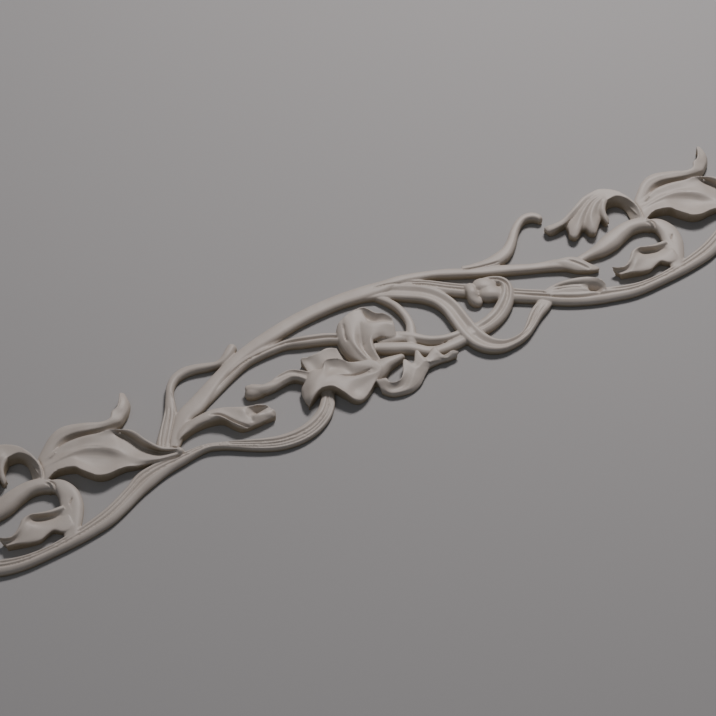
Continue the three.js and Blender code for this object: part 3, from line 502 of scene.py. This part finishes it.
carve("standard_right", [
  [[506, 44, 20], [512, 44.5, 21], [526, 42, 22], [536, 24, 22], [546, 17, 22], [552, 4, 21]],
  [[503, 32, 19], [511, 33, 20], [519, 30, 13], [527, 18, 12], [539, 11, 15], [551, -1, 18]],
  [[498, 14, 17], [508, 16, 20], [517, 12, 21], [528, 7, 21], [540, 2, 20], [549, -8, 18]],
  [[493, -4, 13.5], [503, -2, 18.5], [513, -6, 20], [524, -8, 19], [536, -10, 17], [546, -16, 15]],
  [[491, -15, 12], [500, -14, 16], [510, -16, 17], [522, -15, 15], [533, -21, 13], [543, -23, 12]],
], rolls=(ROLL, 0, 1, ROLL))

carve("skirt", [
  [[387, -32, 10], [402, -23, 18], [418, -26, 17], [429, -17, 21], [447, -24, 21],
    [456, -36, 20], [470, -42, 19], [484, -46, 19], [493, -55, 18]],
  [[377, -40, 11], [393, -38, 20], [412, -38, 21], [430, -31, 14], [445, -38, 15],
    [456, -48, 17], [470, -53, 18], [483, -57, 18], [494, -61, 18]],
  [[372, -52, 10], [388, -50, 21], [406, -49, 22], [424, -46, 20], [440, -52, 17],
    [454, -59, 13], [469, -63, 13], [483, -66, 17], [494, -66, 18]],
  [[370, -62, 12], [382, -60, 21], [402, -56, 22], [418, -57, 21], [434, -63, 19],
    [450, -66, 18], [467, -69, 18], [482, -72, 17], [492, -71, 17]],
  [[370, -69, 12], [380, -66, 21], [399, -60, 22], [416, -64, 22], [428, -79, 19],
    [441, -84, 14], [458, -82, 14], [475, -79, 15], [487, -76, 15]],
  [[371, -75, 10], [378, -71, 18], [397, -62, 22], [413, -66, 22], [421, -79, 22],
    [430, -98, 17], [442, -102, 12], [457, -95.5, 13], [474, -83, 13]],
])

stem("horn", [
  [476, -69, 30, 16], [492, -64, 28, 17], [506, -61, 20, 17], [521, -60, 14, 15], [537, -59, 8, 12],
], tips=(0, 5))

carve("back_petal", [
  [[399, 3, 16], [403, 5, 18], [410, 2, 18], [427, 1, 19], [442, 2, 19], [455, -5, 18]],
  [[399, -5, 14], [404, -5, 14], [412, -6, 14], [424, -7, 17], [440, -6, 17], [455, -12, 16]],
  [[399, -26, 11], [405, -28, 11], [414, -28, 11], [426, -26, 13], [440, -28, 13], [455, -32, 12]],
])

carve("side_sepal", [
  [[312, 2.5, 13], [318, -2, 15], [327, -8, 15], [343, -9, 15], [360, -5, 16], [377, -4, 16],
    [389, -11, 16], [402, -23, 16]],
  [[307, -0.5, 14], [316, -8, 16.5], [328, -13, 17], [344, -13, 16], [360, -10, 14], [375, -10, 13],
    [386, -17, 12], [396, -29, 13]],
  [[305.5, -6, 13], [316, -14, 15], [329, -19, 15], [345, -20, 15.5], [360, -17.5, 16.5],
    [373, -17, 17], [383, -23, 17], [391, -34, 16]],
  [[306.5, -10, 10], [317, -18.5, 11], [330, -23, 11], [345, -24, 11], [361, -22, 11], [374, -22, 11],
    [382, -28, 11], [388, -38, 10]],
], rolls=(ROLL, 4, 0, ROLL))

stem("sepal_end", [
  [305.5, -3, 16, 12], [311, -8, 23, 15], [318, -11, 22, 15.5], [329, -14, 16, 15],
], tips=(7, 0))

carve("lower_petal", [
  [[476, -82, 14], [490, -85, 15], [491, -94, 15], [498, -99, 16], [508, -97, 16], [516, -88, 16],
    [526.5, -70.5, 16.5], [531.5, -71, 16], [538, -80.5, 14], [550, -64.5, 16.5],
    [555, -65.5, 16.5], [558, -80, 14], [576, -70.5, 15], [580.5, -74, 15], [584, -88, 13],
    [598, -88, 15], [607, -93, 13]],
  [[475, -86, 13], [486, -89, 15], [488.5, -97, 13], [497, -102, 12], [508, -101, 12],
    [518, -92, 15], [527, -79, 16], [531.5, -80.2, 15.6], [537, -82, 14.5], [551, -74, 16],
    [554.1, -78.4, 15.4], [558, -85, 14], [575, -79, 15], [578.6, -83.4, 14.4], [583, -90, 13],
    [598, -89.5, 14], [607, -93.5, 12]],
  [[475, -90, 11], [482, -92, 13], [486, -101, 10], [496, -106, 9], [508, -106, 9], [521, -97, 13],
    [531, -86, 15], [535, -86, 14.7], [540, -86, 14], [552, -81, 15.5], [555.6, -83.8, 15.1],
    [560, -88, 14], [574, -84, 14], [579, -87.2, 13.4], [585, -92, 12], [596, -91, 14],
    [603, -95, 12]],
  [[475, -95, 9], [479, -98, 10], [483, -106, 9], [494, -112, 9.5], [509, -112, 10.5],
    [523, -104, 13], [534, -94, 14.5], [538, -92.8, 14.5], [543, -91, 14.5], [553, -87, 15],
    [556.6, -88.6, 14.7], [561, -91, 14], [573, -88.5, 13], [578.9, -91.1, 12.7], [586, -95, 12],
    [595, -93, 13], [602, -95.5, 11]],
  [[475, -98, 6], [480, -104, 8], [486, -111, 8], [500, -115.5, 9], [514, -116, 9], [530, -110, 9],
    [543, -100, 10], [548, -97.6, 10], [554, -94, 10], [561, -93, 10], [565.5, -92.6, 10],
    [571, -92, 10], [578, -93, 10], [582.5, -94.2, 9.7], [588, -96, 9], [596, -95.5, 10],
    [602, -96, 9]],
  [[475, -100, 2], [480, -107, 2.5], [487, -113.5, 3], [502, -118, 3], [516, -119, 3],
    [532, -113.5, 4], [546, -102.5, 6], [550.5, -99.7, 6.3], [556, -95.5, 7], [562, -94.5, 7],
    [566, -94.5, 7], [571, -94.5, 7], [578, -95, 7], [582.5, -95.8, 7], [588, -97, 7],
    [596, -97, 7], [602, -97, 7]],
], rolls=(1.2, ROLL, 0, ROLL))


# The casting. The pattern is repeated along the mould and cast as one body in rigid polyurethane
# foam, so that stems and flowers grow into each other with soft seams.
REPEAT = 993                    # from the heart of one side flower to the next
LEFT, RIGHT = -130, 1160        # where the saw cuts, from the heart of the first side flower
CENTRE = (LEFT + RIGHT) / 2
SPARE = 5                       # how far past the saw cuts a form still counts
VOXEL = 1.0

copies = []
for form in forms:
    xs = [v.co.x / MM for v in form.data.vertices]
    for copy in (-1, 0, 1):
        if max(xs) + copy * REPEAT < LEFT - SPARE or min(xs) + copy * REPEAT > RIGHT + SPARE:
            continue
        twin = form.copy()
        twin.data = form.data.copy()
        twin.data.transform(Matrix.Translation(((copy * REPEAT - CENTRE) * MM, 0, 0)))
        bpy.context.collection.objects.link(twin)
        copies.append(twin)
for form in forms:
    bpy.data.objects.remove(form)
for twin in copies:
    twin.select_set(True)
bpy.context.view_layer.objects.active = copies[0]
bpy.ops.object.join()
frieze = bpy.context.object
frieze.name = frieze.data.name = "iris_frieze_casting"

melt = frieze.modifiers.new("melt", "REMESH")
melt.mode = "VOXEL"
melt.voxel_size = VOXEL * MM
bpy.ops.object.modifier_apply(modifier=melt.name)
soften = frieze.modifiers.new("soften", "SMOOTH")
soften.factor = 0.5
soften.iterations = 2
bpy.ops.object.modifier_apply(modifier=soften.name)


# Tooling. Folds, veins and nicks, cut into the carved model by hand before its mould was taken, so
# that every casting has them. Each is a path, a width and a depth in millimetres, and a negative
# depth raises a line.
TOOLED = [
    ([[-10, -15], [-6, -20], [-5, -27], [-8, -33]], 1.6, -1.6),
    ([[-7, -14], [-2.5, -20], [-1.5, -27], [-4.5, -34]], 1.8, 2.2),
    ([[-12, -17], [-9, -21], [-8, -27], [-11, -32]], 1.5, 0.8),
    ([[2, -65], [6, -61], [10, -57]], 1.6, 2.2),
    ([[11.5, 18.5], [17.5, 21], [23.5, 23.5]], 1.6, -1.2),
    ([[44.5, 15.5], [59.5, 13.5], [71.5, 7.5], [84.5, -0.5]], 2.2, 0.9),
    ([[-2, 29], [-3, 14], [-6, 0], [-11, -10]], 2, 1.6),
    ([[430, -49], [444, -55], [459, -58.5], [472, -60.5], [481, -62]], 2, 2.4),
    ([[438, -58], [455, -63], [475, -65.5]], 2.5, -1),
    ([[485, 30], [480, 18.5], [476, 8], [474.5, -1]], 2.4, 2.6),
    ([[481.5, 24], [477.5, 12]], 2, -1),
    ([[494, 2], [488.5, -12], [486.5, -28], [488, -42]], 1.4, 0.9),
    ([[499, -1], [492.5, -14], [490, -28], [491.5, -42]], 1.4, 0.9),
    ([[239, -22], [251, -27], [257, -34], [261, -42], [267, -52], [275, -62], [281, -67]], 2.6, 4.5),
    ([[237, -26], [248, -31], [253, -38], [257, -46], [263, -56], [270, -64]], 3.2, -2.2),
    ([[288, -44], [289, -54], [287, -63]], 5, 1.6),
    ([[838, -21], [846, -32], [853, -43], [858, -53]], 3.2, 3),
    ([[205, 8], [208.5, 22], [211.5, 36], [214, 46]], 1.8, -1.4),
    ([[700, -111], [722, -99], [742, -82.5], [762, -70]], 1.5, 1.3),
    ([[705, -113], [726, -102], [747, -88], [767, -77]], 1.5, 1.3),
    ([[786, -60], [812, -69], [834, -81]], 1.8, 1.6),
    ([[791, -57], [815, -64], [838, -75]], 1.8, 1.3),
    ([[745, -45], [770, -61], [792, -77], [817, -91], [840, -101]], 2.2, 1.6),
    ([[692, 41], [705, 36.5], [722, 31.5], [738, 28], [750, 26]], 1.8, 2.4),
    ([[558, 74], [580, 70], [600, 63], [618, 54]], 1.8, 1.6),
    ([[836, -82], [842, -86], [847, -91], [850, -98]], 7.5, 6),
    ([[158, -40], [168, -26], [181, -8], [192, 8], [199, 22]], 1.6, 1.8),
    ([[164, -46], [173, -30], [186, -12], [197, 4], [203, 18]], 1.6, 1.8),
    ([[155, -36], [163, -22], [175, -4], [187, 12], [196, 26]], 1.5, 1.4),
]


def gouge(points, path, width, depth):
    """How deep a gouge drawn along the path cuts at each point: all its depth on the path, running
    out at its sides and at its two ends. A negative depth raises a ridge instead."""
    path = eased(path, 5)
    nearest = np.full(len(points), 1e9)
    along = np.zeros(len(points))
    for i in range(len(path) - 1):
        a, b = path[i, :2], path[i + 1, :2]
        t = np.clip(((points[:, :2] - a) @ (b - a)) / max((b - a) @ (b - a), 1e-9), 0, 1)
        distance = np.linalg.norm(points[:, :2] - (a + t[:, None] * (b - a)), axis=1)
        closer = distance < nearest
        nearest[closer] = distance[closer]
        along[closer] = (i + t[closer]) / (len(path) - 1)
    ends = np.clip(np.minimum(along, 1 - along) * 5, 0, 1) ** 0.7
    return depth * ends * np.exp(-(nearest / (0.6 * width)) ** 2)


melted = np.empty(len(frieze.data.vertices) * 3)
frieze.data.vertices.foreach_get("co", melted)
melted = melted.reshape(-1, 3) / MM + [CENTRE, 0, 0]
facing = np.empty(len(melted) * 3)
frieze.data.vertex_normals.foreach_get("vector", facing)
reached = np.clip(facing.reshape(-1, 3)[:, 2] * 2 - 0.2, 0, 1)
for path, width, depth in TOOLED:
    for copy in (-1, 0, 1):
        line = np.asarray(path, float) + [copy * REPEAT, 0]
        low_edge, high_edge = line.min(axis=0) - 2 * width, line.max(axis=0) + 2 * width
        near = np.all((melted[:, :2] > low_edge) & (melted[:, :2] < high_edge), axis=1)
        if near.any():
            melted[near, 2] -= gouge(melted[near], line, width, depth) * reached[near]
melted = (melted - [CENTRE, 0, 0]) * MM
frieze.data.vertices.foreach_set("co", melted.ravel())
frieze.data.update()


# Ends and back. The casting is sawn square at both ends and is flat at the back, where it is glued
# to the wall. What the saw parts from the rest at the ends is thrown away.
FACES = 196000                  # triangles that the finished surface keeps
SHARP = 50                      # degrees over which an edge stays an edge
half = (RIGHT - LEFT) / 2 * MM
bpy.ops.object.mode_set(mode="EDIT")
for sawn, outward in (((-half, 0, 0), (-1, 0, 0)), ((half, 0, 0), (1, 0, 0)), ((0, 0, 0), (0, 0, -1))):
    bpy.ops.mesh.select_all(action="SELECT")
    bpy.ops.mesh.bisect(plane_co=sawn, plane_no=outward, use_fill=True, clear_outer=True)
bpy.ops.object.mode_set(mode="OBJECT")

mesh = bmesh.new()
mesh.from_mesh(frieze.data)
seen = set()
bodies = []
for start in mesh.verts:
    if start in seen:
        continue
    seen.add(start)
    body, queue = [], [start]
    while queue:
        vertex = queue.pop()
        body.append(vertex)
        for edge in vertex.link_edges:
            other = edge.other_vert(vertex)
            if other not in seen:
                seen.add(other)
                queue.append(other)
    bodies.append(body)
bodies.sort(key=len)
for body in bodies[:-1]:
    bmesh.ops.delete(mesh, geom=body, context="VERTS")
bmesh.ops.triangulate(mesh, faces=mesh.faces[:])
mesh.to_mesh(frieze.data)
mesh.free()

thin = frieze.modifiers.new("thin", "DECIMATE")
thin.ratio = min(1, FACES / len(frieze.data.polygons))
bpy.ops.object.modifier_apply(modifier=thin.name)
low_corner, high_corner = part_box("iris_frieze")
inside = np.empty(len(frieze.data.vertices) * 3)
frieze.data.vertices.foreach_get("co", inside)
inside = np.clip(inside.reshape(-1, 3), low_corner, high_corner)
frieze.data.vertices.foreach_set("co", inside.ravel())
frieze.data.update()
bpy.ops.object.shade_smooth_by_angle(angle=math.radians(SHARP))


# Primer and painted shade. The foam is primed off-white, and its side walls and deep hollows are painted
# darker, towards a brown, as shade: the steeper or the deeper below their surroundings, the darker. How
# much painted shade each point of the surface gets is kept on it.
CELL = 1.5                      # size of the squares that the surface is sorted into, millimetres
MARGIN = 8                      # squares left free round it
REACH = 3                       # squares that the depth is averaged over, each way and twice
SHELTERED, DEEP = 1.5, 7        # depth below its surroundings where the painted shade begins, and over how much it deepens
STEEP, FALL = 0.55, 0.5         # slope where a wall begins, and over how much its painted shade deepens
co = np.empty(len(frieze.data.vertices) * 3)
frieze.data.vertices.foreach_get("co", co)
co = co.reshape(-1, 3) / MM
normals = np.empty(len(frieze.data.vertices) * 3)
frieze.data.vertex_normals.foreach_get("vector", normals)
upright = normals.reshape(-1, 3)[:, 2]
column, line = (((co[:, :2] - co[:, :2].min(axis=0)) / CELL).astype(int) + MARGIN).T
top = np.zeros((column.max() + MARGIN + 1, line.max() + MARGIN + 1))
np.maximum.at(top, (column, line), co[:, 2])
mean, cover = top.copy(), (top > 0).astype(float)
for axis in (0, 1, 0, 1):
    mean = sum(np.roll(mean, shift, axis) for shift in range(-REACH, REACH + 1))
    cover = sum(np.roll(cover, shift, axis) for shift in range(-REACH, REACH + 1))
around = (mean / np.maximum(cover, 1e-6))[column, line]
hollow = np.clip((around - co[:, 2] - SHELTERED) / DEEP, 0, 1)
walls = np.clip((STEEP - upright) / FALL, 0, 1)
# painted shade: the share of brown mixed into the primer, from hollows and steep walls
painted_shade_share = np.clip(0.8 * hollow + 0.6 * walls, 0, 1)
painted_shade_layer = frieze.data.attributes.new("painted_shade", "FLOAT", "POINT")
painted_shade_layer.data.foreach_set("value", painted_shade_share.astype(np.float32))

primer = bpy.data.materials.new("primed_foam")
primer.use_nodes = True
nodes, links = primer.node_tree.nodes, primer.node_tree.links
shader = nodes["Principled BSDF"]
shader.inputs["Roughness"].default_value = 0.47
coordinates = nodes.new("ShaderNodeTexCoord")
painted_shade = nodes.new("ShaderNodeAttribute")
painted_shade.attribute_name = "painted_shade"


def noise(scale, detail, rough=0.55):
    node = nodes.new("ShaderNodeTexNoise")
    node.inputs["Scale"].default_value = scale
    node.inputs["Detail"].default_value = detail
    node.inputs["Roughness"].default_value = rough
    links.new(coordinates.outputs["Object"], node.inputs["Vector"])
    return node


def ramp(value, stops):
    node = nodes.new("ShaderNodeValToRGB")
    for element, (position, colour) in zip(node.color_ramp.elements, stops):
        element.position = position
        element.color = colour
    links.new(value, node.inputs["Fac"])
    return node


def mix(factor, a, b):
    node = nodes.new("ShaderNodeMix")
    node.data_type = "RGBA"
    links.new(factor, node.inputs[0])
    for value, socket in ((a, node.inputs[6]), (b, node.inputs[7])):
        if isinstance(value, tuple):
            socket.default_value = value
        else:
            links.new(value, socket)
    return node.outputs[2]


PRIMER = (0.70, 0.645, 0.59, 1)
WORN = (0.62, 0.56, 0.505, 1)
GRAIN = (0.55, 0.50, 0.435, 1)
# the brown that painted shade darkens steep walls and hollows towards
SHADE_BROWN = (0.40, 0.335, 0.24, 1)
cloudy = ramp(noise(26, 3).outputs["Fac"], [(0.35, WORN), (0.7, PRIMER)])
speckle = ramp(noise(900, 2).outputs["Fac"], [(0.3, GRAIN), (0.62, PRIMER)])
faint = nodes.new("ShaderNodeMath")
faint.operation = "MULTIPLY"
faint.inputs[1].default_value = 0.2
links.new(noise(400, 2).outputs["Fac"], faint.inputs[0])
primed = mix(faint.outputs[0], cloudy.outputs["Color"], speckle.outputs["Color"])
# the primer colour, darkened towards the brown by the painted shade on walls and in hollows
links.new(mix(painted_shade.outputs["Fac"], primed, SHADE_BROWN), shader.inputs["Base Color"])

bump = nodes.new("ShaderNodeBump")
bump.inputs["Strength"].default_value = 0.25
bump.inputs["Distance"].default_value = 0.0004
links.new(noise(700, 3, 0.6).outputs["Fac"], bump.inputs["Height"])
links.new(bump.outputs["Normal"], shader.inputs["Normal"])
frieze.data.materials.clear()
frieze.data.materials.append(primer)
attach(frieze, "root")
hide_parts("iris_frieze")


# Studio. The frieze lies on a plain pale floor, under one soft lamp high at its far right and a weak
# one opposite, and is seen from where the photograph was taken.
CLEAR = 0.0006                  # gap between the floor and the back
bpy.ops.mesh.primitive_plane_add(size=14, location=(0, 0, -CLEAR))
floor = bpy.context.object
floor.name = "floor"
paper = bpy.data.materials.new("pale_floor")
paper.use_nodes = True
plain = paper.node_tree.nodes["Principled BSDF"]
plain.inputs["Base Color"].default_value = (0.5, 0.5, 0.505, 1)
plain.inputs["Roughness"].default_value = 0.8
floor.data.materials.append(paper)


def lamp(name, place, size, power, colour):
    """A lamp that looks at the middle of the frieze."""
    light = bpy.data.lights.new(name, "AREA")
    light.shape = "RECTANGLE"
    light.size, light.size_y = size
    light.energy = power
    light.color = colour
    item = bpy.data.objects.new(name, light)
    item.location = place
    item.rotation_euler = (Vector((0, 0, 0)) - Vector(place)).to_track_quat("-Z", "Y").to_euler()
    bpy.context.scene.collection.objects.link(item)


lamp("key", (1.52, 1.42, 2.5), (0.8, 0.6), 67, (1, 0.935, 0.915))
lamp("fill", (-1.9, -0.9, 2.6), (2.2, 2.2), 5, (0.97, 0.98, 1))

world = bpy.data.worlds.new("studio")
world.use_nodes = True
room = world.node_tree.nodes["Background"]
room.inputs["Color"].default_value = (0.9, 0.93, 1, 1)
room.inputs["Strength"].default_value = 0.075
bpy.context.scene.world = world

camera_data = bpy.data.cameras.new("camera")
camera_data.sensor_width = 36
camera_data.lens = 119.763
camera_data.clip_end = 50
camera = bpy.data.objects.new("camera", camera_data)
camera.location = (-1.1308, -1.94175, 2.63256)
camera.rotation_euler = (math.radians(40), 0, math.radians(-29.719))
bpy.context.scene.collection.objects.link(camera)
bpy.context.scene.camera = camera
